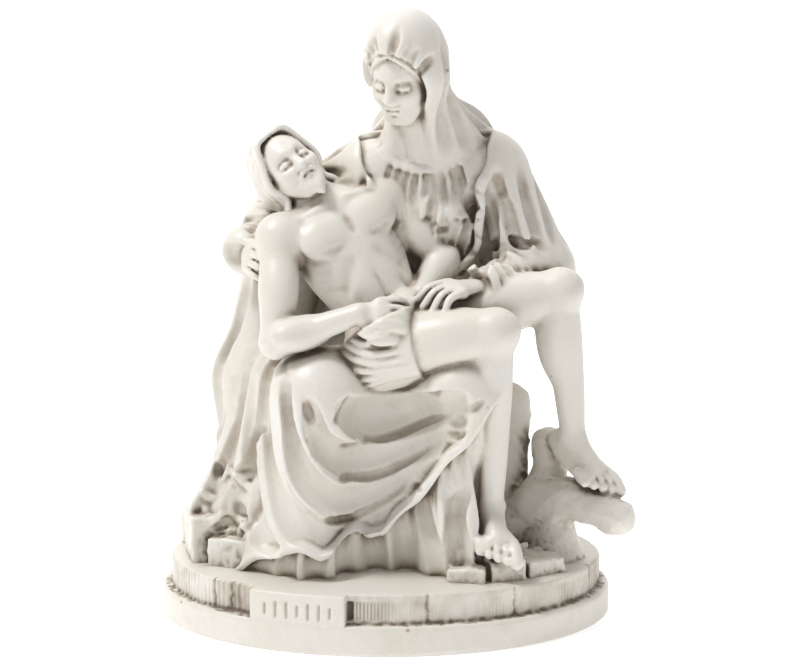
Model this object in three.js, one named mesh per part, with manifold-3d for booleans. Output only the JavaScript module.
// A small cast figure of a seated, veiled woman who holds a dead man across her lap,
// on a stepped oval base.
// It is one solid casting. Millimetres, +Z up, the figures look toward -Y.
// The origin is the middle of the underside.

import * as THREE from "three";
import { mergeVertices } from "three/addons/utils/BufferGeometryUtils.js";
import { edgeTable, triTable } from "three/addons/objects/MarchingCubes.js";
import Module from "manifold-3d";

// Base: a low oval foot and a narrower step on it
const FOOT_WIDTH = 112;
const FOOT_DEPTH = 88;
const FOOT_HEIGHT = 7.2;
const FOOT_EDGE = 1.0; // rounding of the foot's upper edge
const STEP_WIDTH = 107;
const STEP_DEPTH = 83;
const STEP_HEIGHT = 7.2;
const STEP_EDGE = 0.8;
const OVAL_SIDES = 72;

// Tablet on the front of the step, with a notch at its right, and the joints between the step's blocks
const TABLET_WIDTH = 22.8;
const TABLET_LEFT = 20.8; // from the base's middle to the tablet's
const TABLET_INSET = 0.3; // how far the tablet stays behind the foot's side
const NOTCH_WIDTH = 1.8;
const NOTCH_DEPTH = 1.5;
const JOINTS = [-140.5, -134, -79, -54.5, -20, 22, 64, 108, 150]; // degrees round the step, front at -90
const JOINT_WIDTH = 0.7;
const JOINT_DEPTH = 0.6;
const CUT_MARGIN = 0.9; // plain band left above and below the notch and the joints

// Figures: everything above the step. Their sizes below are in 135.2ths of their height.
const FIGURE_HEIGHT = 135.6;
const FIGURE_BACK = 1.5; // the figures sit this far behind the middle of the base
const FIGURE_ROOT = 3; // how deep their rock runs into the step
const SHARES = 135.2;
const GRAIN = 0.95; // size of the cells in which the clay is worked
const MANTLE_OVER = 1.2; // how far the mantle lies over the gown
const SHORTEST = 0.4; // least share of a hollow's line that has to lie on the surface
const FACETS = 7900; // flat faces that the figures are given in the end

const COLOUR = 0xe9e4da;
const ROUGHNESS = 0.55;

// Small sums on [x, y, z]
const plus = (...list) => [0, 1, 2].map((i) => list.reduce((s, a) => s + a[i], 0));
const times = (a, k) => a.map((v) => v * k);
const less = (a, b) => a.map((v, i) => v - b[i]);
const mid = (a, b, t = 0.5) => a.map((v, i) => v + (b[i] - v) * t);
const dot = (a, b) => a[0] * b[0] + a[1] * b[1] + a[2] * b[2];
const cross = ([a, b, c], [d, e, f]) => [b * f - c * e, c * d - a * f, a * e - b * d];
const unit = (a) => times(a, 1 / Math.hypot(...a));
const clamp = (v, low = 0, high = 1) => Math.min(high, Math.max(low, v));
const ramp = (v, x0, x1, y0, y1) => y0 + (y1 - y0) * clamp((v - x0) / (x1 - x0));
const range = (n) => Array.from({ length: n }, (_, i) => i);

// A settled scatter between -1 and 1, so that no two folds are alike
function wave(i) {
  const v = Math.sin(i * 12.9898 + 1.7) * 43758.5453;
  return 2 * (v - Math.floor(v)) - 1;
}

// Shapes: a box that holds the shape, and the distance to its surface, negative inside
function ball(centre, radii, axes = [[1, 0, 0], [0, 1, 0], [0, 0, 1]]) {
  const r = Array.isArray(radii) ? radii : [radii, radii, radii], m = axes.map(unit), [cx, cy, cz] = centre;
  const reach = [0, 1, 2].map((j) => Math.hypot(...r.map((v, i) => v * m[i][j])));
  const [[ax, ay, az], [bx, by, bz], [dx, dy, dz]] = m.map((axis, i) => times(axis, 1 / r[i]));
  const distance = (x, y, z) => {
    x -= cx;
    y -= cy;
    z -= cz;
    const a = x * ax + y * ay + z * az, b = x * bx + y * by + z * bz, c = x * dx + y * dy + z * dz;
    const near = Math.sqrt(a * a + b * b + c * c);
    const steep = Math.sqrt((a / r[0]) ** 2 + (b / r[1]) ** 2 + (c / r[2]) ** 2);
    return (near * (near - 1)) / Math.max(steep, 1e-6);
  };
  return { low: less(centre, reach), high: plus(centre, reach), distance };
}

// A round bar, thinner along one direction where flat gives that direction and its share
function bar(a, b, ra, rb = ra, flat = [[0, 0, 1], 1]) {
  const r = Math.max(ra, rb), [ax, ay, az] = a, [bx, by, bz] = less(b, a);
  const size = bx * bx + by * by + bz * bz;
  const [nx, ny, nz] = unit(flat[0]), grow = 1 / flat[1] - 1, even = (1 + flat[1]) / 2;
  const distance = (x, y, z) => {
    x -= ax;
    y -= ay;
    z -= az;
    const t = Math.min(1, Math.max(0, (x * bx + y * by + z * bz) / size));
    x -= t * bx;
    y -= t * by;
    z -= t * bz;
    const g = (x * nx + y * ny + z * nz) * grow;
    x += g * nx;
    y += g * ny;
    z += g * nz;
    return (Math.sqrt(x * x + y * y + z * z) - ra - (rb - ra) * t) * even;
  };
  const low = a.map((v, i) => Math.min(v, b[i]) - r), high = a.map((v, i) => Math.max(v, b[i]) + r);
  return { low, high, distance };
}

// A squared stone, turned by degrees about the upright and leaning sideways by a share
function stone(centre, half, turn = 0, lean = 0, edge = 0.6) {
  const c = Math.cos((turn * Math.PI) / 180), s = Math.sin((turn * Math.PI) / 180), [cx, cy, cz] = centre;
  const m = [unit([c, s, lean]), unit([-s, c, 0]), unit([-lean * c, -lean * s, 1])];
  const reach = [0, 1, 2].map((j) => half.reduce((sum, h, i) => sum + Math.abs(h * m[i][j]), 0));
  const side = (axis, h, x, y, z) => Math.abs(x * axis[0] + y * axis[1] + z * axis[2]) - h + edge;
  const distance = (x, y, z) => {
    const u = side(m[0], half[0], x - cx, y - cy, z - cz);
    const v = side(m[1], half[1], x - cx, y - cy, z - cz);
    const w = side(m[2], half[2], x - cx, y - cy, z - cz);
    const out = Math.max(u, 0) ** 2 + Math.max(v, 0) ** 2 + Math.max(w, 0) ** 2;
    return Math.sqrt(out) + Math.min(Math.max(u, v, w), 0) - edge;
  };
  return { low: less(centre, reach), high: plus(centre, reach), distance };
}

function softMin(a, b, k) {
  const h = Math.max(k - Math.abs(a - b), 0) / k;
  return Math.min(a, b) - (h * h * k) / 4;
}

function curve(points, count) {
  const places = points.map((p) => new THREE.Vector3(p[0], p[1], p[2] ?? 0));
  const line = new THREE.CatmullRomCurve3(places, false, "catmullrom", 0.5);
  return line.getPoints(count).map((p) => p.toArray());
}

const widthAt = (widths, t) => {
  const s = t * (widths.length - 1), i = Math.min(Math.floor(s), widths.length - 2);
  return widths.length === 1 ? widths[0] : widths[i] + (widths[i + 1] - widths[i]) * (s - i);
};

// Clay: a box of cells, each holding its distance to the surface
const LOW = [-58, -45, -FIGURE_ROOT - 1];
const HIGH = [64, 45, 139];
const FAR = 5;
const SIZE = LOW.map((v, i) => Math.ceil((HIGH[i] - v) / GRAIN) + 1);

class Clay {
  constructor(copy = null) {
    this.d = copy ? copy.d.slice() : new Float32Array(SIZE[0] * SIZE[1] * SIZE[2]).fill(FAR);
  }

  // Runs work(cell, x, y, z) on the cells of a box
  each(low, high, work) {
    const lo = low.map((v, i) => clamp(Math.floor((v - LOW[i]) / GRAIN), 0, SIZE[i] - 1));
    const hi = high.map((v, i) => clamp(Math.ceil((v - LOW[i]) / GRAIN), 0, SIZE[i] - 1));
    for (let k = lo[2]; k <= hi[2]; k++)
      for (let j = lo[1]; j <= hi[1]; j++)
        for (let i = lo[0]; i <= hi[0]; i++)
          work(i + SIZE[0] * (j + SIZE[1] * k), LOW[0] + i * GRAIN, LOW[1] + j * GRAIN, LOW[2] + k * GRAIN);
    return this;
  }

  add(shape, blend = 1) {
    const room = [blend + 2, blend + 2, blend + 2];
    return this.each(less(shape.low, room), plus(shape.high, room), (n, x, y, z) => {
      this.d[n] = softMin(this.d[n], shape.distance(x, y, z), blend);
    });
  }

  cut(shape, blend = 0.6) {
    const room = [blend + 2, blend + 2, blend + 2];
    return this.each(less(shape.low, room), plus(shape.high, room), (n, x, y, z) => {
      this.d[n] = -softMin(-this.d[n], shape.distance(x, y, z), blend);
    });
  }

  // Keeps the clay only where side(x, y, z) is below zero
  keep(side, blend = 0.7) {
    return this.each(LOW, HIGH, (n, x, y, z) => {
      this.d[n] = -softMin(-this.d[n], -side(x, y, z), blend);
    });
  }

  join(other, blend = 0.7) {
    for (let n = 0; n < this.d.length; n++) this.d[n] = softMin(this.d[n], other.d[n], blend);
    return this;
  }

  swell(by) {
    this.d.forEach((v, n, d) => (d[n] = v - by));
    return this;
  }

  // Goes along a path of [x, y, z, width] and runs work(cell, distance in widths, share of the path, width)
  follow(path, reach, work) {
    const room = Math.max(...path.map((p) => p[3])) * reach;
    const low = [0, 1, 2].map((j) => Math.min(...path.map((p) => p[j])) - room);
    const high = [0, 1, 2].map((j) => Math.max(...path.map((p) => p[j])) + room);
    const lo = low.map((v, i) => clamp(Math.floor((v - LOW[i]) / GRAIN), 0, SIZE[i] - 1));
    const hi = high.map((v, i) => clamp(Math.ceil((v - LOW[i]) / GRAIN), 0, SIZE[i] - 1));
    const [wide, deep, tall] = hi.map((v, i) => v - lo[i] + 1);
    const near = new Float32Array(wide * deep * tall).fill(Infinity), share = new Float32Array(near.length);
    const width = new Float32Array(near.length);
    const spot = (n) => {
      const i = n % SIZE[0], j = Math.floor(n / SIZE[0]) % SIZE[1];
      const k = Math.floor(n / (SIZE[0] * SIZE[1]));
      return i - lo[0] + wide * (j - lo[1] + deep * (k - lo[2]));
    };
    path.slice(1).forEach((b, i) => {
      const a = path[i], [bx, by, bz] = [b[0] - a[0], b[1] - a[1], b[2] - a[2]];
      const size = Math.max(bx * bx + by * by + bz * bz, 1e-9), most = Math.max(a[3], b[3]) * reach;
      const from = [0, 1, 2].map((j) => Math.min(a[j], b[j]) - most);
      const to = [0, 1, 2].map((j) => Math.max(a[j], b[j]) + most);
      this.each(from, to, (n, x, y, z) => {
        x -= a[0];
        y -= a[1];
        z -= a[2];
        const t = Math.min(1, Math.max(0, (x * bx + y * by + z * bz) / size));
        const w = a[3] + (b[3] - a[3]) * t;
        x -= t * bx;
        y -= t * by;
        z -= t * bz;
        const q = Math.sqrt(x * x + y * y + z * z) / w;
        if (q >= reach) return;
        const m = spot(n);
        if (q >= near[m]) return;
        near[m] = q;
        share[m] = (i + t) / (path.length - 1);
        width[m] = w;
      });
    });
    for (let k = 0, m = 0; k < tall; k++)
      for (let j = 0; j < deep; j++)
        for (let i = 0; i < wide; i++, m++) {
          const n = i + lo[0] + SIZE[0] * (j + lo[1] + SIZE[1] * (k + lo[2]));
          if (near[m] < reach) work(n, near[m], share[m], width[m]);
        }
    return this;
  }

  // A round roll of clay laid along a line
  roll(points, widths, blend = 0.8, count = 12) {
    const path = curve(points, count).map((p, i) => [...p, widthAt(widths, i / count)]);
    return this.follow(path, 1 + (blend + 2) / Math.min(...widths), (n, near, _, w) => {
      this.d[n] = softMin(this.d[n], (near - 1) * w, blend);
    });
  }

  // A ridge raised along a path, or a groove where height is below zero.
  // Ends are the shares over which it fades.
  press(path, height, ends = [1, 1], hollow = 0) {
    return this.follow(path, 2.6, (n, near, share) => {
      const a = ends[0] ? clamp(share / (0.5 * ends[0])) : 1;
      const b = ends[1] ? clamp((1 - share) / (0.5 * ends[1])) : 1;
      const fade = a * b * a * b * (3 - 2 * a * b);
      this.d[n] -= height * fade * (1 - hollow * near * near) * Math.exp(-near * near);
    });
  }

  at(p) {
    const s = p.map((v, i) => clamp((v - LOW[i]) / GRAIN, 0, SIZE[i] - 1.001));
    const c = s.map(Math.floor);
    let sum = 0;
    for (let n = 0; n < 8; n++) {
      const o = [n & 1, (n >> 1) & 1, n >> 2];
      const w = o.reduce((v, far, i) => v * (far ? s[i] - c[i] : 1 - s[i] + c[i]), 1);
      sum += w * this.d[c[0] + o[0] + SIZE[0] * (c[1] + o[1] + SIZE[1] * (c[2] + o[2]))];
    }
    return sum;
  }

  // How fast the distance grows at a point, in each direction
  slope(p, step = 0.5) {
    return [0, 1, 2].map((i) => {
      const e = [0, 1, 2].map((j) => (i === j ? step : 0));
      return (this.at(plus(p, e)) - this.at(less(p, e))) / (2 * step);
    });
  }

  // Moves a point onto the surface
  settle(point) {
    let p = point;
    for (let step = 0; step < 8; step++) {
      const slope = this.slope(p);
      p = less(p, times(slope, clamp(this.at(p), -2, 2) / Math.max(dot(slope, slope), 0.2)));
    }
    return p;
  }

  // The last point of the clay on a ray from inside, or none
  cast(from, way, far) {
    let found = null, last = this.at(from);
    for (let t = GRAIN / 2; t < far; t += GRAIN / 2) {
      const p = plus(from, times(way, t)), d = this.at(p);
      if (last < 0 && d >= 0) found = plus(from, times(way, t - (GRAIN / 2) * (d / (d - last))));
      last = d;
    }
    return found;
  }

  // Points drawn as [x, z] on the front or back, or as [degrees, z] round an upright line
  seen([a, b], side) {
    const depth = HIGH[1] - LOW[1];
    if (side === "front") return this.cast([a, HIGH[1], b], [0, -1, 0], depth);
    if (side === "back") return this.cast([a, LOW[1], b], [0, 1, 0], depth);
    const turn = (a * Math.PI) / 180;
    return this.cast([side[0], side[1], b], [Math.cos(turn), Math.sin(turn), 0], 70);
  }

  lineOn(points, side, count) {
    return curve(points, count).map((p) => (side ? this.seen(p, side) : this.settle(p))).filter((p) => p);
  }

  // A fold drawn on one side of the clay, or through points near its surface
  stroke(points, widths, height, { side = null, ends = [1, 1], hollow = 0, count = 14 } = {}) {
    const line = this.lineOn(points, side, count);
    const path = line.map((p, i) => [...p, widthAt(widths, i / Math.max(line.length - 1, 1))]);
    return path.length > 1 ? this.press(path, height, ends, hollow) : this;
  }

  // A smooth round hollow along a line on the surface. Between two of them a thin crest is left.
  scoop(points, widths, deep, { side = null, ends = [0.5, 0.5], blend = 0.9, count = 18 } = {}) {
    const line = this.lineOn(points, side, count), last = line.length - 1;
    let out = line.map((p) => this.slope(p, 1.5));
    for (let pass = 0; pass < 4; pass++)
      out = out.map((v, i) => (i % last ? times(plus(out[i - 1], v, out[i + 1]), 1 / 3) : v));
    // only the longest stretch that lies on the surface
    const off = range(line.length).filter((i) => Math.abs(this.at(line[i])) > 0.4);
    const runs = [...off, line.length].map((stop, i) => [(off[i - 1] ?? -1) + 1, stop]);
    const [from, to] = runs.reduce((best, run) => (run[1] - run[0] > best[1] - best[0] ? run : best));
    if (to - from < Math.max(3, SHORTEST * line.length)) return this;
    const path = range(to - from).map((i) => {
      const t = i / (to - from - 1), width = widthAt(widths, (from + i) / last);
      const fade = Math.sin((clamp(t / ends[0]) * clamp((1 - t) / ends[1]) * Math.PI) / 2);
      const lift = width + 0.5 - fade * (deep + 0.5);
      return [...plus(line[from + i], times(unit(out[from + i]), lift)), width];
    });
    return this.follow(path, 1 + (blend + 2) / Math.min(...widths), (n, near, _, w) => {
      this.d[n] = -softMin(-this.d[n], (near - 1) * w, blend);
    });
  }
}

// Places points given in shares of a limb's or a head's length, from its own front and up
function local(origin, front, up, size) {
  const u = unit(up), f = unit(less(front, times(u, dot(front, u)))), r = cross(f, u);
  const at = (x, y, z) => plus(origin, times(r, x * size), times(f, y * size), times(u, z * size));
  return { at, axes: [r, f, u], size };
}

// Joints of the two figures
const HER = {
  pelvis: [8, 12, 42], chest: [10, 9, 80], neck: [10, 5, 97],
  shoulder: { right: [-3, 6, 94], left: [25, 8, 94] },
  elbow: { right: [-25, 13, 81], left: [37, 4, 70] },
  wrist: { right: [-34, -2, 76], left: [21, -15, 69] },
  knee: { right: [-16, -20, 43], left: [19, -20, 43] },
  ankle: { right: [-15, -21, 3], left: [19, -23, 3] },
};
const HER_HEAD = local([4.5, -3, 118.5], [-0.42, -0.8, -0.42], [-0.12, -0.28, 0.9], 21.5);

const HIS = {
  neck: [-15, -3, 88], pelvis: [4, -14, 55],
  shoulder: { right: [-25.4, -10.3, 80], left: [-0.8, 1.5, 88.5] },
  elbow: { right: [-26, -22, 56.5], left: [14, 0, 72] },
  wrist: { right: [-6, -25, 64], left: [9, -13, 67] },
  hip: { right: [-2, -17.5, 53], left: [9, -9, 58] },
  knee: { right: [26, -25, 59.5], left: [42, -11, 67] },
  ankle: { right: [25.5, -22, 16.5], left: [46, -10, 31] },
};
const HIS_HEAD = local([-23.5, -3, 96], [0.18, -0.8, 0.5], [-0.62, 0.22, 0.66], 19.5);

// Heads, hands and feet
function face(clay, { at, axes, size: s }) {
  const scaled = (...r) => times(r, s);
  clay.add(ball(at(0, -0.06, 0.14), scaled(0.34, 0.42, 0.36), axes), 0.5);
  clay.add(ball(at(0, 0.12, -0.1), scaled(0.28, 0.28, 0.36), axes), 2);
  clay.add(ball(at(0, 0.235, -0.4), scaled(0.115, 0.105, 0.09), axes), 1.6);
  const brow = [
    [-0.24, 0.27, 0.08], [-0.13, 0.37, 0.115], [0, 0.38, 0.085], [0.13, 0.37, 0.115], [0.24, 0.27, 0.08],
  ];
  for (const side of [-1, 1]) {
    clay.add(bar(at(0.235 * side, 0.02, -0.16), at(0.1 * side, 0.2, -0.4), 0.085 * s, 0.08 * s), 2);
    clay.add(ball(at(0.18 * side, 0.235, -0.1), 0.1 * s), 2);
  }
  clay.press(curve(brow.map((p) => at(...p)), 12).map((p) => [...p, 0.06 * s]), 0.028 * s);
  for (const side of [-1, 1]) {
    const socket = [at(0.085 * side, 0.385, 0.005), at(0.2 * side, 0.335, 0)];
    clay.press(socket.map((p) => [...p, 0.075 * s]), -0.07 * s, [0, 0]);
    clay.add(ball(at(0.135 * side, 0.282, -0.012), scaled(0.088, 0.075, 0.058), axes), 0.3);
  }
  clay.add(bar(at(0, 0.33, 0.06), at(0, 0.405, -0.13), 0.048 * s, 0.06 * s), 1);
  clay.add(ball(at(0, 0.415, -0.145), scaled(0.08, 0.055, 0.048), axes), 0.5);
  clay.add(ball(at(0, 0.295, -0.265), scaled(0.115, 0.09, 0.07), axes), 1.3);
  const mouth = [at(-0.095, 0.335, -0.27), at(0, 0.395, -0.268), at(0.095, 0.335, -0.27)];
  clay.press(curve(mouth, 6).map((p) => [...p, 0.03 * s]), -0.035 * s, [0.3, 0.3]);
}

// thumb is 1 where the thumb lies on the right of the fingers
function hand(clay, wrist, toward, back, size, thumb, curl) {
  const { at, axes: [, out], size: s } = local(wrist, back, toward, size);
  clay.add(bar(at(0, 0, -0.04), at(0, 0, 0.3), 0.155 * s, 0.2 * s, [out, 0.55]), 0.8);
  clay.add(bar(at(-0.13, 0, 0.3), at(0.13, 0, 0.32), 0.13 * s, 0.13 * s, [out, 0.7]), 0.8);
  [0.4, 0.46, 0.43, 0.34].forEach((long, i) => {
    const x = thumb * (0.195 - 0.13 * i), lean = x * 0.4, bend = curl * (1 + 0.12 * i);
    const root = at(x, 0.02, 0.4 - 0.035 * Math.abs(i - 1.3));
    const knuckle = at(x + lean * 0.4, 0.03 - bend * long * 0.32, 0.42 + long * 0.42);
    const tip = at(x + lean, -0.02 - bend * long * 1.05, 0.42 + long * (0.92 - 0.35 * bend));
    clay.roll([root, knuckle, tip], [0.07 * s, 0.066 * s, 0.058 * s], 0.3, 8);
  });
  clay.roll([at(thumb * 0.13, -0.05, 0.06), at(thumb * 0.31, -0.1, 0.26), at(thumb * 0.356, -0.13, 0.48)],
    [0.1 * s, 0.082 * s, 0.066 * s], 0.6, 8);
}

// inside is 1 where the big toe is on the right
function foot(clay, ankle, toward, up, size, inside) {
  const { at, axes, size: s } = local(ankle, toward, up, size);
  clay.add(ball(at(0, -0.11, -0.14), [0.13 * s, 0.15 * s, 0.135 * s], axes), 1.2);
  clay.add(bar(at(0, 0, -0.03), at(0, 0.4, -0.155), 0.135 * s, 0.115 * s), 2);
  clay.add(bar(at(-inside * 0.06, 0, -0.19), at(-inside * 0.11, 0.46, -0.215), 0.1 * s, 0.08 * s), 1.5);
  clay.add(bar(at(inside * 0.07, 0.42, -0.175), at(-inside * 0.12, 0.42, -0.2), 0.105 * s, 0.075 * s), 1.2);
  [0.25, 0.24, 0.215, 0.185, 0.15].forEach((long, i) => {
    const x = inside * (0.115 - 0.072 * i), y = 0.46 - 0.03 * i, r = (i ? 0.051 - 0.002 * i : 0.07) * s;
    const toe = [at(x, y, -0.175), at(x, y + long * 0.55, -0.17), at(x, y + long, -0.225)];
    clay.roll(toe, [r * 1.05, r], 0.4, 6);
  });
  for (const side of [-1, 1]) clay.add(ball(at(0.11 * side, -0.01, -0.015), 0.058 * s), 0.8);
}

// Rocks under and behind the figures
function rocks(clay) {
  clay.add(stone([3, 17, 16], [22, 10, 15], 6, 0, 2.5), 2);
  range(8).forEach((i) => {
    const turn = 16 + 22 * i + 5 * wave(i + 3), out = (turn * Math.PI) / 180;
    const spot = [37 * Math.cos(out) - 2, 15 + 15 * Math.sin(out), 3 + 3 * wave(i)];
    const half = [7 + 3 * wave(i + 2), 6 + 1.5 * wave(i + 7), 6.5 + 4 * wave(i + 5)];
    clay.add(stone(spot, half, turn + 90 + 22 * wave(i + 9), 0.12 * wave(i), 1.4), 0.8);
  });
  // low rubble that fills the gaps under the robes
  for (const [x, y] of [[18, -1], [-40.5, 8], [-11, 31]]) clay.add(ball([x, y, 0], [6, 5, 3]), 1);
  // squared stones on the left
  clay.add(stone([-43.5, -7, 4.5], [5.5, 6.5, 7], 12, 0.03), 0.4);
  clay.add(stone([-37, -14, 2], [5.5, 4.5, 5], -22, 0.03), 0.4);
  clay.add(stone([-45, 4, 2.5], [4.5, 6, 5.5], 30, 0.03), 0.4);
  clay.add(stone([-40, 6, 8], [5, 7, 7], -8, 0.03), 0.4);
  // squared stones on the right that carry the near foot
  clay.add(stone([20, -29, -0.2], [4.8, 3.6, 3.6], -12, 0.03), 0.4);
  clay.add(stone([28.5, -26.5, 0.6], [4.6, 4.4, 4.6], 18, 0.03), 0.4);
  clay.add(stone([24.5, -21, 2.2], [7.5, 5.5, 4.6], 4, 0.03), 0.4);
  clay.add(stone([36, -20, 0.5], [5.5, 6, 3.2], 34, 0.03), 0.4);
  // upright slab behind the legs, round at its top
  clay.add(bar([28.5, 2, 8], [31, 4, 36], 6.2, 5.6, [[0, 1, 0], 0.6]), 1);
  // stump under the far foot: a short trunk that spreads into a saddle, with a knob and a broken bough
  clay.add(bar([42, -7, -3], [42, -6, 9], 8.2, 4.8), 3);
  const saddle = [[22, -3, 3], [31, -2, 7], [38, -3, 13], [41, -2, 21], [40.5, -1, 27]];
  clay.roll(saddle, [5, 5.5, 5.6, 4.4, 4.2], 2.5);
  const bough = [[38, -5, 13], [45, -10, 15.5], [51, -14.5, 14.5], [56.5, -18.5, 12.5]];
  clay.roll(bough, [5.5, 5.4, 4.8, 4.4], 2.5);
  clay.cut(stone([64, -24, 10], [5, 8, 9], -38, 0.1, 0.5), 0.5);
}

// Her gown and mantle
function gown(clay) {
  const { pelvis, chest, shoulder, elbow, wrist, knee, ankle } = HER;
  clay.add(bar(pelvis, knee.right, 12, 9.5), 2);
  clay.add(bar(plus(pelvis, [2, 0, 0]), knee.left, 12, 9.5), 4);
  clay.add(bar(knee.right, plus(ankle.right, [-3, 1, 0]), 9, 10.5), 4);
  clay.add(bar(less(knee.left, [1, 0, 0]), plus(ankle.left, [-1, 1, 0]), 8.5, 9), 4);
  clay.add(ball([1, -10, 14], [22, 13, 28]), 6);
  clay.add(ball([-3, 6, 24], [30, 22, 34]), 5);
  // the skirts spread to the ground on both sides
  clay.add(bar([-24, -6, 44], [-28, -9, 2], 8, 11.5), 7);
  clay.add(bar([-23, 10, 82], [-32, 7, 42], 7.5, 8.5), 5);
  clay.add(bar([-32, 7, 42], [-33, 4, 3], 8.5, 9.5), 6);
  clay.add(bar([-34, -2, 27], [-42.5, -6, 11], 5, 5.5), 4);
  clay.add(bar([18, -8, 40], [19, -12, 2], 7, 8), 6);
  // waist, chest and shoulders
  clay.add(bar(pelvis, chest, 13, 12.5), 5);
  clay.add(ball(plus(chest, [0, 1, 2]), [16, 10.5, 17]), 5);
  for (const x of [3.5, 16]) clay.add(ball([x, 1.5, 83], [6, 6, 6.5]), 3);
  clay.add(bar(shoulder.right, shoulder.left, 7), 5);
  // sleeves
  clay.add(bar(shoulder.right, elbow.right, 7.5), 4);
  clay.add(bar(elbow.right, wrist.right, 7, 4.6), 3);
  clay.add(bar(shoulder.left, elbow.left, 8.5), 4);
  clay.add(bar(elbow.left, plus(wrist.left, [4, 4, 0]), 7, 4.6), 3);
  // the mantle hangs from her left elbow to the seat
  clay.add(bar(plus(elbow.left, [-4, 6, 1]), [17, 17, 42], 6.5, 9), 6);
  // down the back
  clay.add(bar([2, 13, 90], [-10, 19, 4], 11, 15), 6);
  clay.add(bar([18, 13, 90], [11, 19, 4], 11, 14), 6);
}

// The mantle's front edge: its height above the ground at a place from left to right
function hemHeight(x) {
  const rise = [
    [-60, -8], [-44, -6], [-34, 1], [-24, 7], [-15, 6], [-7, 10],
    [0, 10], [6, 17], [17, 31], [30, 47], [40, 60],
  ];
  const i = clamp(rise.findIndex(([place]) => place > x), 1, rise.length - 1);
  return ramp(x, rise[i - 1][0], rise[i][0], rise[i - 1][1], rise[i][1]) + 0.9 * Math.sin(x * 0.55);
}

// Half the width of the mantle's opening over the chest, at a height
const openHalf = (z) => 4 + 0.34 * (z - 66) + 0.5 * Math.sin(z * 0.6);
const CHEST_X = 9.5;

function gownFolds(robe) {
  // hollows between the pipes, from the lap to the ground in front
  range(9).forEach((i) => {
    const x0 = -20 + 5.6 * i, x1 = -24 + 7.2 * i, top = 30 + 1.6 * i + 4 * wave(i);
    const line = [[x0, top], [(x0 + x1) / 2 + 1.5 * wave(i + 3), top / 2], [x1, 4], [x1 + 0.5, -4]];
    robe.scoop(line, [1.6, 2.3 + 0.5 * wave(i), 3, 3.2], 2.6, { side: "front", ends: [0.5, 0.01] });
  });
  // and round the right side
  range(7).forEach((i) => {
    const turn = -64 + 10.5 * i + 2 * wave(i), top = 46 - 9 * (i % 2);
    const line = [[turn, top], [turn + 2.5 * wave(i), 22], [turn + 2 * wave(i + 2), 3], [turn, -4]];
    robe.scoop(line, [1.6, 2.4, 3.1, 3.3], 2.5, { side: [2, 0], ends: [0.5, 0.01] });
  });
  // gathers below the neck, drawn together under the breast
  range(9).forEach((i) => {
    const t = i / 8 - 0.5, top = 90.5 + 18 * t * t, end = 82 + 4 * wave(i + 3) - 3 * Math.abs(t);
    const middle = [CHEST_X + t * 20 + wave(i), (top + end) / 2];
    const line = [[CHEST_X + t * 15, top], middle, [CHEST_X + t * 20 - wave(i), end]];
    robe.scoop(line, [0.9, 1.3, 1.6], 1.3, { side: "front", ends: [0.3, 0.5], blend: 0.4, count: 12 });
  });
  range(7).forEach((i) => {
    const t = i / 6 - 0.5, start = [CHEST_X + t * 24 + wave(i), 82 + 3 * wave(i + 8)];
    const line = [start, [CHEST_X + t * 19 + wave(i + 5), 77], [CHEST_X + t * 13, 69]];
    robe.scoop(line, [1.2, 1.8, 1.2], 1.7, { side: "front", ends: [0.4, 0.3], blend: 0.5, count: 12 });
  });
  const band = [[-2, 0, 97], [3, -6, 92.5], [CHEST_X, -8, 90.5], [16, -6, 92.5], [21, 0, 97]];
  robe.stroke(band, [1], 1.1, { ends: [0.1, 0.1], hollow: 0.6 });
}

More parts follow.
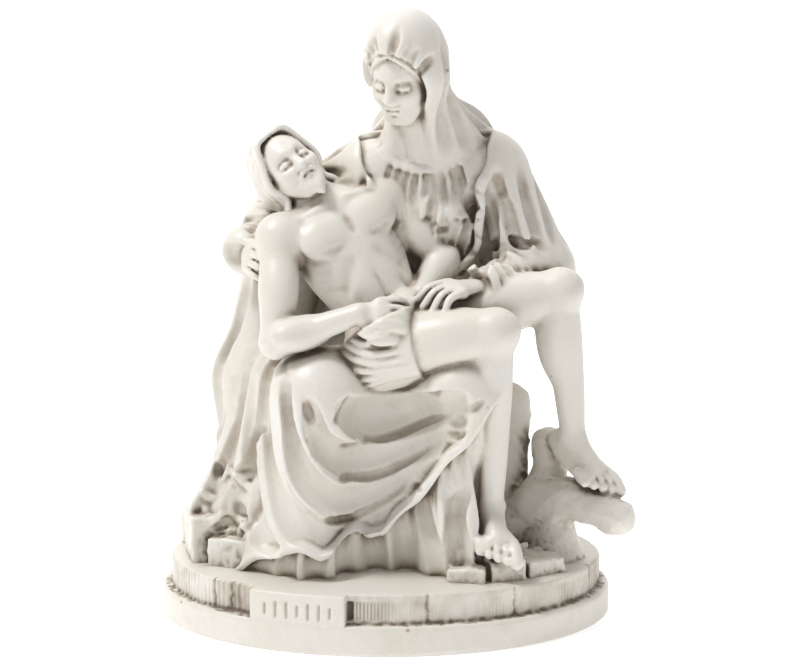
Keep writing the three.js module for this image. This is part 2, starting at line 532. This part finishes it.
function mantleFolds(mantle) {
  // deep hollows that hang between the knees and rise along her right thigh, one inside the other
  const swags = [
    { line: [[19, 45], [10, 40], [-2, 37], [-11, 43]], widths: [3, 5.5, 6, 4], deep: 5.5 },
    {
      line: [[21, 42], [10, 33], [-4, 27.5], [-15, 34], [-18.5, 46]],
      widths: [2, 4.2, 5.2, 3.2, 2],
      deep: 4.8,
    },
    {
      line: [[19, 35], [6, 24.5], [-8, 18.5], [-19.5, 26], [-23.5, 40], [-23.5, 52]],
      widths: [1.6, 3.6, 4.6, 3.4, 2.2, 1.6],
      deep: 4.4,
    },
    {
      line: [[14, 27.5], [1, 15.5], [-13, 9.5], [-24.5, 17], [-28.5, 34], [-27.5, 52]],
      widths: [1.6, 3.2, 4.4, 3.8, 2.4, 1.8],
      deep: 4.2,
    },
    {
      line: [[6, 15.5], [-7, 6], [-20, 2.5], [-30, 9], [-33.5, 28], [-31.5, 48]],
      widths: [1.2, 2.8, 3.6, 3.6, 2.4, 1.8],
      deep: 3.4,
    },
  ];
  for (const { line, widths, deep } of swags)
    mantle.scoop(line, widths, deep, { side: "front", ends: [0.25, 0.3], blend: 0.7, count: 30 });
  // short folds that branch from them over the knees
  const branches = [
    [[24, 45], [17, 41]], [[14, 46.5], [8, 44]], [[-8, 46], [-12.5, 38]], [[-19, 46], [-17, 37]],
    [[20, 37.5], [14, 34.5]], [[-4, 32.6], [-12, 32]], [[-16, 15.2], [-6, 13.8]], [[6, 20.4], [14, 25]],
  ];
  branches.forEach(([a, b], i) => {
    const middle = plus([...mid(a, b), 0], [0.8 * wave(i), 0.8 * wave(i) - 0.8, 0]);
    mantle.scoop([a, middle, b], [0.8, 1.3, 0.8], 1.1, { side: "front", blend: 0.5, count: 10 });
  });
  // hollows that fan out from the arm and the shoulders to the ground, all the way round
  range(22).forEach((i) => {
    const turn = -150 - 9.9 * i, pull = 5.5 * (1 - (i % 3)) + 2 * wave(i), wide = 2.9 + 0.7 * wave(i + 2);
    const top = [88, 70, 80][i % 3] - (i < 3 ? 14 : 0) - (i > 18 ? 10 : 0) + 4 * wave(i + 6);
    const line = [
      [turn + pull, top],
      [turn + 0.5 * pull + 1.6 * wave(i + 1), top * 0.6],
      [turn + 1.5 * wave(i + 3), top * 0.3],
      [turn + wave(i + 4), 3],
      [turn, -4],
    ];
    const fan = { side: [2, 6], ends: [0.4, 0.01], blend: 0.7, count: 26 };
    mantle.scoop(line, [1.4, wide * 0.8, wide, wide + 0.5, wide + 0.6], 3.3, fan);
  });
  // cloth heaped over the stones at the left
  range(6).forEach((i) => {
    const x = -33.5 - 1.1 * i, z = 27 - 3.2 * i, end = [-46 + wave(i + 2), z - 6 + 2 * wave(i + 3)];
    const line = [[x, z + 2 * wave(i)], [x - 4.5, z - 4.5 + wave(i + 1)], end];
    const heap = { side: "front", ends: [0.4, 0.4], blend: 0.6, count: 14 };
    mantle.scoop(line, [1.1, 1.7 + 0.3 * wave(i), 1.2], 1.8, heap);
  });
  // hollows down the mantle's front, beside its edge, and across it between the breast and the arm
  for (const [x0, x1, x2] of [[27.5, 26, 22], [-4.5, -5.5, -3]]) {
    const line = [[x0, 97], [x1, 84], [x2, 68]];
    mantle.scoop(line, [1.2, 1.9, 1.4], 1.8, { side: "front", ends: [0.3, 0.3], blend: 0.6 });
  }
  range(6).forEach((i) => {
    const z = 90 - 3.7 * i, start = [17 + 0.5 * wave(i) - 0.5 * i, z - 2.5];
    const line = [start, [20.5, z + wave(i + 1)], [25 - 0.4 * i, z + 2.5 * wave(i + 2)]];
    const crumple = { side: "front", ends: [0.2, 0.5], blend: 0.45, count: 12 };
    mantle.scoop(line, [0.9, 1.3 + 0.2 * wave(i), 1], 1.5, crumple);
  });
  sleeveFolds(mantle, "right", 6, -170);
  sleeveFolds(mantle, "left", 8, -120);
}

// Long hollows from the shoulder to the elbow, short ones in the bend of the arm, and a rolled cuff
function sleeveFolds(mantle, name, count, start) {
  const shoulder = HER.shoulder[name], elbow = HER.elbow[name], wrist = HER.wrist[name];
  const along = unit(less(elbow, shoulder)), fore = unit(less(wrist, elbow));
  const a = unit(cross(along, [0, 0, 1])), b = cross(along, a);
  range(count).forEach((i) => {
    const turn = ((start + 34 * i) * Math.PI) / 180;
    const out = plus(times(a, Math.cos(turn)), times(b, Math.sin(turn)));
    const slide = times(cross(along, out), 3 + 2 * wave(i));
    const line = [
      less(plus(shoulder, times(out, 8), times(along, 2 * wave(i))), slide),
      plus(mid(shoulder, elbow), times(out, 9)),
      plus(elbow, times(out, 8.5), slide),
    ];
    mantle.scoop(line, [1.2, 2 + 0.4 * wave(i), 1.6], 2, { ends: [0.35, 0.4], blend: 0.7, count: 16 });
  });
  const side = unit(cross(along, fore));
  range(5).forEach((i) => {
    const p = plus(elbow, times(fore, 2 + 3.4 * i), times(along, -1.5));
    const low = plus(p, times(side, 7), times(along, 3 - i));
    const high = plus(p, times(side, -7), times(along, 1 + wave(i)));
    const bend = { ends: [0.4, 0.4], blend: 0.6, count: 14 };
    mantle.scoop([low, plus(p, times(along, 7.5 - 0.5 * i)), high], [1, 1.7 + 0.3 * wave(i), 1], 1.6, bend);
    const behind = plus(p, times(along, 0.4 * i - 7), times(fore, 2));
    mantle.scoop([low, behind, high], [0.8, 1.3, 0.8], 1.2, bend);
  });
}

function robes() {
  const robe = new Clay();
  gown(robe);
  const mantle = new Clay(robe).swell(1.5), plain = new Clay(mantle);
  gownFolds(robe);
  mantleFolds(mantle);
  // folds grow calm toward the edge, which then is cut along the lap and opened over the chest
  mantle.each(LOW, HIGH, (n, x, y, z) => {
    if (y >= 8 || z >= 62) return;
    mantle.d[n] = plain.d[n] + (mantle.d[n] - plain.d[n]) * clamp(0.3 + (z - hemHeight(x)) * 0.3);
  });
  robe.d.forEach((v, n, d) => (d[n] = Math.max(v, mantle.d[n] + MANTLE_OVER)));
  mantle.keep((x, y, z) => {
    if (z >= 62) return -FAR;
    if (y < 6) return (hemHeight(x) - z) * 0.72;
    return x > 26 ? 6 - y : -FAR;
  }, 0.8);
  mantle.keep((x, y, z) => (y < 7 && z > 58 ? (openHalf(z) - Math.abs(x - CHEST_X)) * 0.9 : -FAR), 0.8);
  const rim = (line) => {
    const path = line.map((p) => plain.seen(p, "front")).filter((p) => p);
    mantle.press(path.map((p) => [...p, 1.1]), 1, [0, 0]);
  };
  rim(range(40).map((i) => -40 + (69 * i) / 39).map((x) => [x, hemHeight(x) + 1]));
  const opening = range(18).map((i) => 66 + (27 * i) / 17);
  for (const side of [-1, 1]) rim(opening.map((z) => [CHEST_X + side * (openHalf(z) + 1), z]));
  return robe.join(mantle, 0.6);
}

// Her head under its veil
function veiledHead() {
  const head = new Clay(), { at, axes, size: s } = HER_HEAD;
  face(head, HER_HEAD);
  head.add(bar(at(0, -0.12, -0.25), plus(HER.neck, [0, 1, -1]), 5, 6), 2);
  const veil = new Clay();
  veil.add(ball(at(0, -0.1, 0.21), [0.455 * s, 0.53 * s, 0.55 * s], axes), 1);
  veil.add(bar(at(0, -0.22, 0), plus(HER.neck, [2, 7, -4]), 8.5, 12), 5);
  veil.add(bar(at(0.24, -0.12, 0), plus(HER.shoulder.left, [-3, 1, 4]), 5.5, 7), 5);
  veil.add(bar(at(-0.26, -0.05, -0.05), plus(HER.shoulder.right, [4, 1, 3]), 5, 6), 4);
  veil.add(ball([11, 15, 92], [19, 9, 22]), 5);
  // hollows from the crown over the sides and down the back
  range(13).forEach((i) => {
    const turn = -42 + 22 * i, lean = 16 - 2.6 * i, foot = i > 2 && i < 10 ? 84 : 99;
    const line = [
      [turn - lean, 129 + 3 * wave(i)],
      [turn - 0.5 * lean, 118],
      [turn + 3 * wave(i + 2), 107],
      [turn + 0.5 * lean, foot],
    ];
    const fold = { side: [7, 4], ends: [0.35, 0.3], blend: 0.8, count: 26 };
    veil.scoop(line, [1.2, 1.9, 2.3, 2.6], 1.9 + 0.4 * wave(i + 1), fold);
  });
  // crimped edge over the brow
  range(8).forEach((i) => {
    const t = (i - 3.5 + 0.3 * wave(i)) / 3.5, long = 0.5 + 0.5 * wave(i + 1);
    const sin = Math.sin(1.4 * t), cos = Math.cos(1.4 * t);
    const a = at(0.36 * sin, 0.4 - 0.16 * t * t, 0.08 + 0.34 * cos);
    const depth = 0.22 - 0.14 * long - 0.1 * t * t;
    const b = at((0.4 + 0.06 * long) * sin, depth, 0.2 + (0.34 + 0.1 * long) * cos);
    const crimp = [a, plus(mid(a, b), times(axes[0], wave(i))), b];
    veil.scoop(crimp, [1, 1.3, 0.8], 1.2 + 0.5 * wave(i + 4), { ends: [0.1, 0.7], blend: 0.5, count: 10 });
  });
  veil.cut(bar(at(0, 0.6, 0.1), at(0, 0.14, -0.06), 0.37 * s, 0.355 * s), 0.8);
  veil.cut(bar(at(0, 0.34, -0.25), plus(HER.neck, [-2, -12, -8]), 0.32 * s, 8.5), 1.2);
  veil.keep((x, y, z) => 74 - z + 1.2 * Math.sin(x * 0.8), 0.8);
  return head.join(veil, 0.5);
}

// His body, cloth and head
function body() {
  const clay = new Clay(), { neck, pelvis } = HIS;
  const down = unit(less(pelvis, neck)), long = Math.hypot(...less(pelvis, neck));
  const facing = [0.25, -0.85, 0.45], out = unit(less(facing, times(down, dot(facing, down))));
  const wide = cross(out, down), axes = [wide, out, down];
  const at = (x, y, z) => plus(neck, times(wide, x), times(out, y), times(down, z * long));
  clay.add(ball(at(0, -1, 0.36), [13.2, 8.8, 17], axes), 1);
  clay.add(bar(at(-11.5, -0.5, 0.1), at(11.5, -0.5, 0.1), 5.2), 4);
  clay.add(ball(at(0, -0.5, 0.74), [10.4, 7.4, 14], axes), 4);
  clay.add(ball(plus(pelvis, [0, 1, 0]), [12.5, 9.5, 9], axes), 4);
  for (const side of [-1, 1]) clay.add(ball(at(6.4 * side, 5.2, 0.235), [6.8, 3.4, 5.6], axes), 1.6);
  const nape = at(0, 0, 0.05);
  clay.add(bar(nape, plus(nape, times(less(HIS_HEAD.at(0, 0, 0), neck), 0.7)), 5, 4.6), 3);
  // collar bones, the arch under the ribs, and the middle lines
  for (const side of [-1, 1]) {
    const collar = [at(1.6 * side, 6.2, 0.045), at(6.5 * side, 5.6, 0.06), at(12 * side, 3.2, 0.055)];
    clay.press(curve(collar, 10).map((p) => [...p, 1]), 0.9, [0.4, 0.6]);
    const arch = [[1.6, 8.6, 0.41], [4.6, 8.6, 0.46], [8.4, 6.6, 0.57], [10.3, 3, 0.67]];
    clay.stroke(arch.map(([x, y, z]) => at(x * side, y, z)), [1.3, 1.7, 1.3], -0.9, { ends: [0.7, 0.7] });
    const breast = [at(1.2 * side, 9, 0.345), at(7 * side, 8.5, 0.352), at(11.5 * side, 5.5, 0.3)];
    clay.stroke(breast, [0.9], -0.9, { ends: [0.4, 0.7] });
  }
  clay.stroke([at(0, 8.6, 0.12), at(0, 9, 0.34)], [0.9], -0.8, { ends: [0.7, 0.5] });
  clay.stroke([at(0, 8.4, 0.44), at(0, 7.4, 0.86)], [0.9], -0.7, { ends: [0.6, 0.6] });

  for (const name of ["right", "left"]) {
    const shoulder = HIS.shoulder[name], elbow = HIS.elbow[name], wrist = HIS.wrist[name];
    const upper = less(elbow, shoulder), fore = less(wrist, elbow);
    clay.add(ball(shoulder, 5.9), 2.5);
    clay.add(bar(shoulder, elbow, 5, 3.7), 2.5);
    const biceps = plus(mid(shoulder, elbow), out);
    clay.add(ball(biceps, [4.5, 4.5, 8.5], [cross(unit(upper), out), out, upper]), 2);
    clay.add(bar(elbow, wrist, 4, 2.5), 1.5);
    clay.add(ball(mid(elbow, wrist, 0.32), [4.1, 4.1, 6.5], [cross(unit(fore), out), out, fore]), 2);

    const hip = HIS.hip[name], knee = HIS.knee[name], ankle = HIS.ankle[name];
    const thigh = unit(less(knee, hip)), shin = unit(less(ankle, knee));
    const cap = unit(less(thigh, times(shin, 0.2)));
    const calf = unit(less(times(shin, dot(thigh, shin)), thigh));
    const level = cross(thigh, [0, 0, 1]);
    clay.add(bar(hip, knee, 8.2, 5.4), 3);
    const middle = plus(mid(hip, knee), [0, -0.5, 1]);
    const muscle = plus(mid(knee, ankle, 0.32), times(calf, 1.8));
    clay.add(ball(middle, [7.4, 7, 15], [level, cross(thigh, level), thigh]), 3);
    clay.add(ball(plus(knee, times(cap, 0.8)), 5.3), 2);
    clay.add(ball(plus(knee, times(cap, 3.2)), 2.6), 1.6);
    clay.add(bar(knee, ankle, 4.9, 3), 1.5);
    clay.add(ball(muscle, [4.7, 4.9, 10.5], [cross(calf, shin), calf, shin]), 2.5);
  }
  foot(clay, HIS.ankle.right, [0.18, -0.88, -0.4], [0.1, -0.35, 0.9], 23, -1);
  foot(clay, HIS.ankle.left, [0.62, -0.58, -0.52], [0.35, -0.3, 0.88], 23, -1);
  hand(clay, HIS.wrist.right, [0.95, 0.02, 0.02], [0.05, -0.8, 0.6], 16, -1, 0.35);
  hand(clay, HIS.wrist.left, [-0.8, -0.55, -0.15], [-0.1, -0.55, 0.85], 15.5, 1, 0.3);
  return clay;
}

// The cloth round his hips: the body, a little larger, kept between two slanting cuts
function hipCloth(under) {
  const cloth = new Clay(under).swell(0.9);
  const thigh = unit(less(HIS.knee.right, HIS.hip.right)), spine = unit(less(HIS.neck, HIS.pelvis));
  range(7).forEach((i) => {
    const a = plus(HIS.pelvis, times(spine, 6.5 - 1.6 * i), [-13, -5, 1 - 1.2 * i]);
    const b = plus(HIS.hip.right, times(thigh, 4 + 1.6 * i), [0, -9, 6 - 2.4 * i]);
    const fold = [a, plus(mid(a, b), [-1, -4, -1.5]), b];
    cloth.stroke(fold, [0.9, 1.1, 0.9], 1.1, { ends: [0.6, 0.6], hollow: 0.9 });
  });
  const top = plus(HIS.pelvis, times(spine, 5.5)), end = plus(HIS.hip.right, times(thigh, 11.5));
  const cuts = (...p) => Math.max(dot(less(p, top), spine), dot(less(p, end), thigh));
  return cloth.keep(cuts, 0.6);
}

function beardedHead() {
  const clay = new Clay(), { at, axes, size: s } = HIS_HEAD;
  face(clay, HIS_HEAD);
  clay.add(ball(at(0, -0.14, 0.16), [0.36 * s, 0.395 * s, 0.375 * s], axes), 0.8);
  // wavy locks from the parting down past the jaw
  for (const side of [-1, 1])
    range(8).forEach((i) => {
      const t = i / 7, turn = 0.04 * wave(i), rise = Math.sin(3 * t);
      const lock = [
        at(side * 0.02, 0.24 - 0.6 * t, 0.45 + 0.09 * rise),
        at(side * (0.19 + turn), 0.24 - 0.6 * t, 0.42 + 0.05 * rise),
        at(side * (0.335 - turn), 0.16 - 0.5 * t, 0.2 - 0.04 * t),
        at(side * (0.36 + turn), 0.03 - 0.4 * t + turn, -0.06 - turn),
        at(side * (0.31 - turn), 0.02 - 0.4 * t - turn, -0.28),
        at(side * (0.36 + turn * 1.5), -0.06 - 0.32 * t + turn, -0.45),
        at(side * (0.31 + turn), -0.04 - 0.34 * t, -0.62 + 0.12 * wave(i)),
      ];
      clay.roll(lock, times([0.04, 0.055, 0.065, 0.07, 0.065, 0.055, 0.035], s), 0.25, 22);
    });
  // short beard along the jaw
  range(9).forEach((i) => {
    const t = (i - 4) / 4, root = at(0.24 * t, 0.33 - 0.22 * t * t, -0.37 + 0.12 * Math.abs(t));
    const tip = at(0.15 * t, 0.34 - 0.2 * t * t, -0.56 + 0.16 * Math.abs(t));
    const tuft = [root, plus(mid(root, tip), times(axes[1], 0.4)), tip];
    clay.roll(tuft, [0.06 * s, 0.055 * s, 0.04 * s], 0.4, 6);
  });
  return clay;
}

function herHands() {
  const clay = new Clay();
  hand(clay, HER.wrist.left, [-0.8, -0.58, -0.05], [-0.25, -0.45, 0.85], 17, -1, 0.4);
  hand(clay, HER.wrist.right, [0.22, -0.93, -0.12], [-0.95, -0.22, 0.2], 17, 1, 0.75);
  return clay;
}

function figures() {
  const clay = new Clay();
  rocks(clay);
  clay.join(robes(), 0.8).join(veiledHead(), 0.5);
  const man = body();
  clay.join(man, 0.7).join(hipCloth(man), 0.5).join(beardedHead(), 0.5).join(herHands(), 0.5);
  return clay.keep((x, y, z) => -FIGURE_ROOT - z, 0.1);
}

// From clay to flat faces
function skin(clay) {
  const [nx, ny, nz] = SIZE, step = [1, nx, nx * ny];
  const corner = [[0, 0, 0], [1, 0, 0], [1, 1, 0], [0, 1, 0], [0, 0, 1], [1, 0, 1], [1, 1, 1], [0, 1, 1]];
  const edges = [
    [0, 1], [1, 2], [3, 2], [0, 3], [4, 5], [5, 6], [7, 6], [4, 7], [0, 4], [1, 5], [2, 6], [3, 7],
  ];
  const offset = corner.map((c) => dot(c, step)), points = [], faces = [], made = new Map(), d = clay.d;
  for (let k = 0; k < nz - 1; k++)
    for (let j = 0; j < ny - 1; j++)
      for (let i = 0; i < nx - 1; i++) {
        const first = i + step[1] * j + step[2] * k;
        let sign = 0;
        for (let bit = 0; bit < 8; bit++) if (d[first + offset[bit]] < 0) sign |= 1 << bit;
        if (!edgeTable[sign]) continue;
        const cells = offset.map((o) => first + o);
        for (let t = sign * 16; triTable[t] >= 0; t += 3)
          faces.push([2, 1, 0].map((o) => {
            const [a, b] = edges[triTable[t + o]], axis = corner[b].findIndex((v, w) => v !== corner[a][w]);
            const key = cells[a] * 3 + axis;
            if (!made.has(key)) {
              const share = clamp(d[cells[a]] / (d[cells[a]] - d[cells[b]]), 0.02, 0.98);
              const place = mid(corner[a], corner[b], share);
              made.set(key, points.length);
              points.push([i, j, k].map((v, w) => LOW[w] + GRAIN * (v + place[w])));
            }
            return made.get(key);
          }));
      }
  return largest(points, faces);
}

// Keeps the one connected body, without the crumbs beside it
function largest(points, faces) {
  const root = points.map((_, i) => i);
  const find = (i) => {
    while (root[i] !== i) i = root[i] = root[root[i]];
    return i;
  };
  faces.forEach(([a, b, c]) => {
    root[find(a)] = find(b);
    root[find(c)] = find(b);
  });
  const count = new Map();
  faces.forEach(([a]) => count.set(find(a), (count.get(find(a)) ?? 0) + 1));
  const most = [...count].sort((a, b) => b[1] - a[1])[0][0];
  return { points, faces: faces.filter(([a]) => find(a) === most) };
}

// How much a place counts when faces are saved: heads first, then hands and feet
function importance(p) {
  const near = (q, reach) => Math.hypot(...less(p, q)) < reach;
  if (near(HER_HEAD.at(0, 0.2, -0.1), 9) || near(HIS_HEAD.at(0, 0.2, -0.1), 9)) return 14;
  if (near(HIS_HEAD.at(0, 0, 0), 14)) return 4;
  const limbs = [HER.wrist, HIS.wrist, HIS.ankle].flatMap(({ left, right }) => [left, right]);
  return limbs.some((q) => near(q, 20)) ? 3.5 : 1;
}

// Joins neighbouring points, least loss of shape first, until as many faces are left as wanted
function thin({ points, faces }, wanted) {
  const at = points.map((p) => [...p]), tris = faces.map((f) => [...f]), around = points.map(() => []);
  const TERMS = 10, loss = new Float64Array(points.length * TERMS), stamp = new Uint32Array(points.length);
  const normal = (a, b, c) => cross(less(b, a), less(c, a));
  tris.forEach((f, t) => {
    const n = normal(at[f[0]], at[f[1]], at[f[2]]), double = Math.hypot(...n);
    const weight = double * importance(at[f[0]]);
    f.forEach((v) => around[v].push(t));
    if (double < 1e-9) return;
    const [a, b, c] = times(n, 1 / double), e = -dot([a, b, c], at[f[0]]);
    const plane = [a * a, a * b, a * c, a * e, b * b, b * c, b * e, c * c, c * e, e * e];
    f.forEach((v) => plane.forEach((q, i) => (loss[v * TERMS + i] += q * weight)));
  });

  // The place for two joined points that loses least, and what it loses
  const q = new Float64Array(TERMS);
  const error = ([x, y, z]) => q[0] * x * x + q[4] * y * y + q[7] * z * z + q[9]
    + 2 * (q[1] * x * y + q[2] * x * z + q[5] * y * z + q[3] * x + q[6] * y + q[8] * z);
  const best = (a, b) => {
    for (let i = 0; i < TERMS; i++) q[i] = loss[a * TERMS + i] + loss[b * TERMS + i];
    const centre = mid(at[a], at[b]), gap = less(at[a], at[b]), length = dot(gap, gap);
    const trace = q[0] + q[4] + q[7];
    const c0 = q[4] * q[7] - q[5] * q[5], c1 = q[2] * q[5] - q[1] * q[7], c2 = q[1] * q[5] - q[2] * q[4];
    const c3 = q[0] * q[7] - q[2] * q[2], c4 = q[1] * q[2] - q[0] * q[5], c5 = q[0] * q[4] - q[1] * q[1];
    const size = q[0] * c0 + q[1] * c1 + q[2] * c2;
    let place = centre, cost = error(centre);
    const choices = [at[a], at[b]];
    if (Math.abs(size) > 1e-5 * trace ** 3) {
      const side = [q[3], q[6], q[8]];
      const p = [dot(side, [c0, c1, c2]), dot(side, [c1, c3, c4]), dot(side, [c2, c4, c5])];
      const ideal = times(p, -1 / size), far = less(ideal, centre);
      if (dot(far, far) < 2 * length) choices.push(ideal);
    }
    for (const p of choices) {
      const e = error(p);
      if (e < cost) [place, cost] = [p, e];
    }
    return { cost: cost + 2e-4 * trace * length, place };
  };

  const heap = [];
  const push = (item) => {
    let i = heap.length;
    heap.push(item);
    while (i > 0) {
      const up = (i - 1) >> 1;
      if (heap[up].cost <= item.cost) break;
      heap[i] = heap[up];
      i = up;
    }
    heap[i] = item;
  };
  const pop = () => {
    const top = heap[0], item = heap.pop(), n = heap.length;
    if (!n) return top;
    let i = 0;
    for (let next = 1; next < n; next = 2 * i + 1) {
      if (next + 1 < n && heap[next + 1].cost < heap[next].cost) next += 1;
      if (heap[next].cost >= item.cost) break;
      heap[i] = heap[next];
      i = next;
    }
    heap[i] = item;
    return top;
  };
  const offer = (a, b) => push({ a, b, whenA: stamp[a], whenB: stamp[b], ...best(a, b) });
  const ring = (v) => {
    const found = new Set();
    for (const t of around[v]) for (const w of tris[t]) if (w !== v) found.add(w);
    return found;
  };
  tris.forEach((f) => f.forEach((v, i) => v < f[(i + 1) % 3] && offer(v, f[(i + 1) % 3])));

  let left = tris.length;
  while (left > wanted && heap.length) {
    const { a, b, whenA, whenB, place } = pop();
    if (whenA !== stamp[a] || whenB !== stamp[b]) continue;
    const ringA = ring(a), ringB = ring(b);
    let shared = 0;
    for (const v of ringA) if (ringB.has(v)) shared += 1;
    if (!ringA.has(b) || shared !== 2) continue;
    const bent = (v, other) => around[v].some((t) => {
      const f = tris[t];
      if (f.includes(other)) return false;
      const m = normal(...f.map((w) => at[w])), n = normal(...f.map((w) => (w === v ? place : at[w])));
      const size = Math.sqrt(dot(n, n));
      return size < 1e-4 || dot(m, n) < 0.25 * Math.sqrt(dot(m, m)) * size;
    });
    if (bent(a, b) || bent(b, a)) continue;
    at[a] = place;
    for (let i = 0; i < TERMS; i++) loss[a * TERMS + i] += loss[b * TERMS + i];
    for (const t of around[b]) {
      const f = tris[t];
      if (f.includes(a)) {
        for (const v of f) if (v !== b) around[v].splice(around[v].indexOf(t), 1);
        tris[t] = null;
        left -= 1;
      } else {
        f[f.indexOf(b)] = a;
        around[a].push(t);
      }
    }
    around[b] = [];
    stamp[a] += 1;
    stamp[b] += 1;
    for (const v of ring(a)) offer(a, v);
  }
  return { points: at, faces: tris.filter((f) => f) };
}

// Joining and cutting closed solids
const wasm = await Module();
wasm.setup();

function solid(geometry) {
  const loose = geometry.hasAttribute("normal");
  geometry.deleteAttribute("normal");
  geometry.deleteAttribute("uv");
  const merged = loose ? mergeVertices(geometry, 1e-4) : geometry;
  return new wasm.Manifold(new wasm.Mesh({
    numProp: 3,
    vertProperties: merged.attributes.position.array,
    triVerts: new Uint32Array(merged.index.array),
  }));
}

function figureSolid() {
  const scale = FIGURE_HEIGHT / SHARES, { points, faces } = thin(skin(figures()), FACETS);
  const used = [...new Set(faces.flat())], place = new Map(used.map((v, i) => [v, i]));
  const geometry = new THREE.BufferGeometry();
  const position = new Float32Array(used.flatMap((v) => points[v]));
  geometry.setAttribute("position", new THREE.BufferAttribute(position, 3));
  geometry.setIndex(faces.flat().map((v) => place.get(v)));
  geometry.scale(scale, scale, scale);
  geometry.translate(0, FIGURE_BACK, FOOT_HEIGHT + STEP_HEIGHT);
  return solid(geometry);
}

// An oval slab with a rounded upper edge
function slab(width, depth, bottom, top, edge) {
  const radius = width / 2, arc = range(4).map((i) => (i * Math.PI) / 6);
  const rounded = arc.map((t) => [radius + edge * (Math.cos(t) - 1), top + edge * (Math.sin(t) - 1)]);
  const profile = [[0, bottom], [radius, bottom], ...rounded, [0, top]].map((p) => new THREE.Vector2(...p));
  return new THREE.LatheGeometry(profile, OVAL_SIDES).rotateX(Math.PI / 2).scale(1, depth / width, 1);
}

// An upright cut into the step's side, where the side's middle line passes at x, y
function sideCut(x, y, width, deep) {
  const out = Math.atan2(y / STEP_DEPTH ** 2, x / STEP_WIDTH ** 2);
  const box = new THREE.BoxGeometry(2 * deep, width, STEP_HEIGHT - 2 * CUT_MARGIN);
  return solid(box.rotateZ(out).translate(x, y, FOOT_HEIGHT + STEP_HEIGHT / 2));
}

function base() {
  const top = FOOT_HEIGHT + STEP_HEIGHT, foot = slab(FOOT_WIDTH, FOOT_DEPTH, 0, FOOT_HEIGHT, FOOT_EDGE);
  const step = slab(STEP_WIDTH, STEP_DEPTH, FOOT_HEIGHT / 2, top, STEP_EDGE);
  let made = solid(foot).add(solid(step));
  for (const joint of JOINTS) {
    const turn = (joint * Math.PI) / 180, x = (STEP_WIDTH / 2) * Math.cos(turn);
    made = made.subtract(sideCut(x, (STEP_DEPTH / 2) * Math.sin(turn), JOINT_WIDTH, JOINT_DEPTH));
  }
  const notch = TABLET_WIDTH / 2 - TABLET_LEFT + NOTCH_WIDTH / 2;
  const notchY = (-STEP_DEPTH / 2) * Math.sqrt(1 - (2 * notch / STEP_WIDTH) ** 2);
  made = made.subtract(sideCut(notch, notchY, NOTCH_WIDTH, NOTCH_DEPTH));
  // tablet: the foot's outline, drawn in a little, carried up to the step's top between two upright sides
  const half = FOOT_WIDTH / 2 - TABLET_INSET, ratio = (FOOT_DEPTH / 2 - TABLET_INSET) / half;
  const across = range(9).map((i) => -TABLET_LEFT + TABLET_WIDTH * (i / 8 - 0.5)), back = -STEP_DEPTH / 4;
  const front = across.map((x) => [x, -ratio * Math.sqrt(half * half - x * x)]);
  const outline = [...front, [across[8], back], [across[0], back]].map((p) => new THREE.Vector2(...p));
  const raised = { depth: top - FOOT_EDGE, bevelEnabled: false };
  const tablet = new THREE.ExtrudeGeometry(new THREE.Shape(outline), raised);
  return made.add(solid(tablet.translate(0, 0, FOOT_EDGE / 2)));
}

function meshOf(name, body) {
  const { numProp, numVert, vertProperties, triVerts } = body.getMesh();
  const geometry = new THREE.BufferGeometry();
  const place = (i) => [...vertProperties.subarray(i * numProp, i * numProp + 3)];
  const position = new Float32Array(range(numVert).flatMap(place));
  geometry.setAttribute("position", new THREE.BufferAttribute(position, 3));
  geometry.setIndex([...triVerts]);
  geometry.computeVertexNormals();
  const finish = { color: COLOUR, roughness: ROUGHNESS, metalness: 0, flatShading: true };
  const mesh = new THREE.Mesh(geometry, new THREE.MeshStandardMaterial(finish));
  mesh.name = name;
  return mesh;
}

const statuette = new THREE.Group();
statuette.add(meshOf("statuette", base().add(figureSolid())));

export default statuette;
